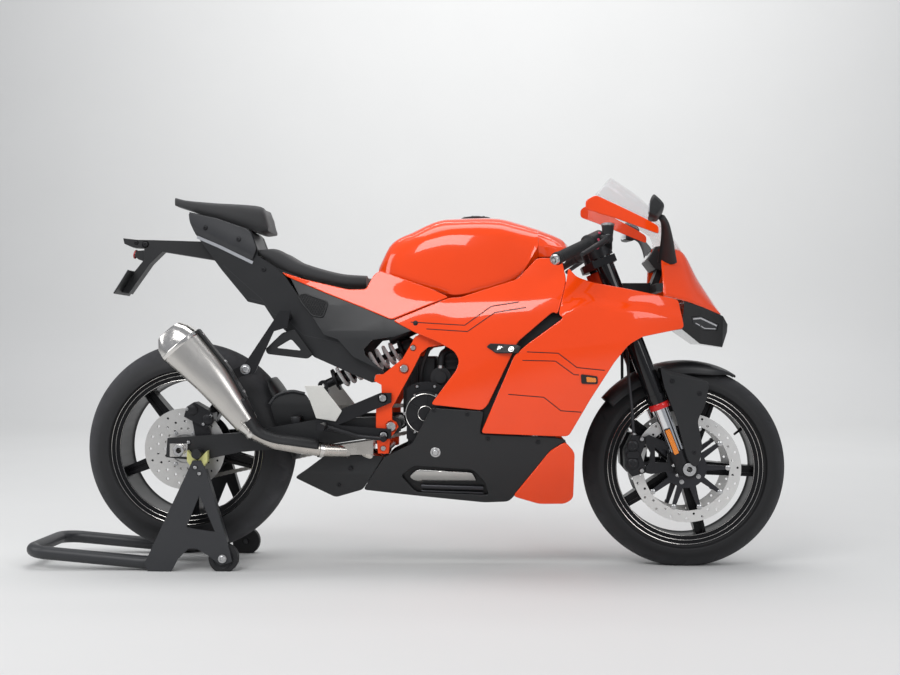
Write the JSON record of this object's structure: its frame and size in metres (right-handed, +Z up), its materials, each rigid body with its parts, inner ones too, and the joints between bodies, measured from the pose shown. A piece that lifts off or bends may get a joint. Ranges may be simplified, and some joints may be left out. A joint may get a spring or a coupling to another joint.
{
  "type": "sport bike",
  "caption": "Fully faired sport motorcycle in orange and black, standing on a rear paddock stand, with turning wheels, steering, a folding side stand and stand rollers.",
  "frame": {"origin": "on the floor, below the middle of the box round the bike and its stand", "axes": "+X forward, +Y to the rider's left, +Z up"},
  "size_m": [2.248, 0.776, 1.166],
  "materials": {
    "orange_paint": "gloss",
    "black_plastic": "satin",
    "black_metal": "satin",
    "orange_metal": "satin",
    "steel": "brushed",
    "chrome": "polished",
    "alloy": "satin",
    "disc_steel": "brushed",
    "rubber": "matte",
    "clear": "clear",
    "lamp": "gloss",
    "red_lens": "gloss",
    "vinyl": "matte",
    "grey_steel": "satin",
    "yellow_plastic": "satin",
    "nylon": "satin"
  },
  "bodies": {
    "chassis": {"main_frame": "orange_metal", "swingarm": "black_metal", "rear_axle": "alloy", "rear_caliper": "black_metal", "chain": "steel", "engine": "black_metal", "engine_covers": "black_metal", "radiator": "black_metal", "exhaust": "steel", "silencer": "steel", "silencer_shield": "black_plastic", "rear_fairings": "orange_paint", "front_fairings": "orange_paint", "side_panels": "orange_paint", "belly_pans": "black_plastic", "deflectors": "orange_paint", "nose_cowl": "orange_paint", "headlamp": "lamp", "headlamp_lenses": "clear", "windscreen": "clear", "screen_strips": "orange_paint", "fuel_tank": "orange_paint", "fuel_cap": "black_metal", "tank_cover": "orange_paint", "rider_seat": "vinyl", "pillion_seat": "vinyl", "tail_unit": "black_plastic", "tail_light": "red_lens", "plate_holder": "black_plastic", "rear_shock": "steel", "hugger": "black_plastic", "foot_brackets": "black_metal", "heel_plates": "alloy", "foot_pegs": "black_metal", "dash": "black_plastic", "mirrors": "black_plastic", "paddock_stand": "grey_steel", "stand_hooks": "yellow_plastic"},
    "steering": {"yokes": "black_metal", "fork_legs": "black_metal", "fork_sliders": "chrome", "fork_feet": "black_metal", "front_axle": "steel", "clip_ons": "black_metal", "grips": "rubber", "hand_controls": "black_plastic", "front_mudguard": "black_plastic", "front_calipers": "black_metal", "brake_hoses": "rubber"},
    "front_wheel": {"front_tyre": "rubber", "front_rim": "black_metal", "front_discs": "disc_steel", "front_disc_carriers": "black_metal"},
    "rear_wheel": {"rear_tyre": "rubber", "rear_rim": "black_metal", "rear_disc": "disc_steel", "rear_sprocket": "steel"},
    "side_stand_leg": {"side_stand": "black_metal"},
    "roller_right": {"stand_roller_right": "nylon"},
    "roller_left": {"stand_roller_left": "nylon"}
  },
  "joints": [
    {"name": "steering_turn", "type": "hinge", "parent": "chassis", "child": "steering", "pos_m": [0.59422, 0, 0.80093], "axis": [-0.3584, 0, 0.9336], "range_deg": [-26, 26]},
    {"name": "front_wheel_spin", "type": "hinge", "parent": "steering", "child": "front_wheel", "pos_m": [0.824, 0, 0.3], "axis": [0, 1, 0], "continuous": true},
    {"name": "rear_wheel_spin", "type": "hinge", "parent": "chassis", "child": "rear_wheel", "pos_m": [-0.655, 0, 0.354], "axis": [0, 1, 0], "continuous": true},
    {"name": "side_stand_swing", "type": "hinge", "parent": "chassis", "child": "side_stand_leg", "pos_m": [-0.062, 0.175, 0.362], "axis": [0, 0.9659, 0.2588], "range_deg": [-100, 0]},
    {"name": "roller_right_spin", "type": "hinge", "parent": "chassis", "child": "roller_right", "pos_m": [-0.524, -0.162, 0.043], "axis": [0, 1, 0], "continuous": true},
    {"name": "roller_left_spin", "type": "hinge", "parent": "chassis", "child": "roller_left", "pos_m": [-0.524, 0.162, 0.043], "axis": [0, 1, 0], "continuous": true}
  ]
}
